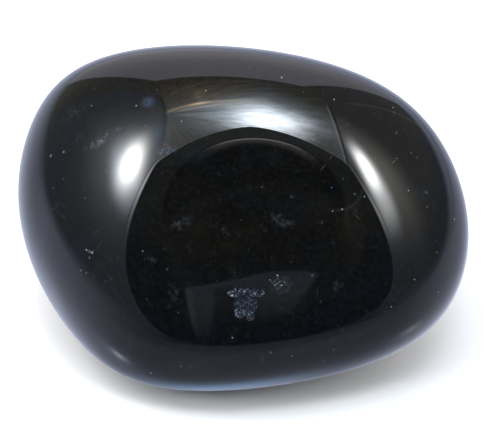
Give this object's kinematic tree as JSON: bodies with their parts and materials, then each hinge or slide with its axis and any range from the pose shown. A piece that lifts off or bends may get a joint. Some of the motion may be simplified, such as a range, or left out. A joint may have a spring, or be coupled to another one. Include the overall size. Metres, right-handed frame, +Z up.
{
  "type": "black onyx",
  "caption": "Tumbled and polished black onyx pebble: softly rounded, glossy all over, with a small crystal-lined pocket in its front, resting on a small flat.",
  "frame": {"origin": "on the resting face, under the middle of the stone's bounding box", "axes": "+X along the stone's longest side, +Y from its sloping front to its back, +Z up"},
  "size_m": [0.0298, 0.0244, 0.0219],
  "materials": {
    "onyx": "opaque black, mirror polished"
  },
  "bodies": {
    "root": {"stone": "onyx"}
  },
  "joints": []
}
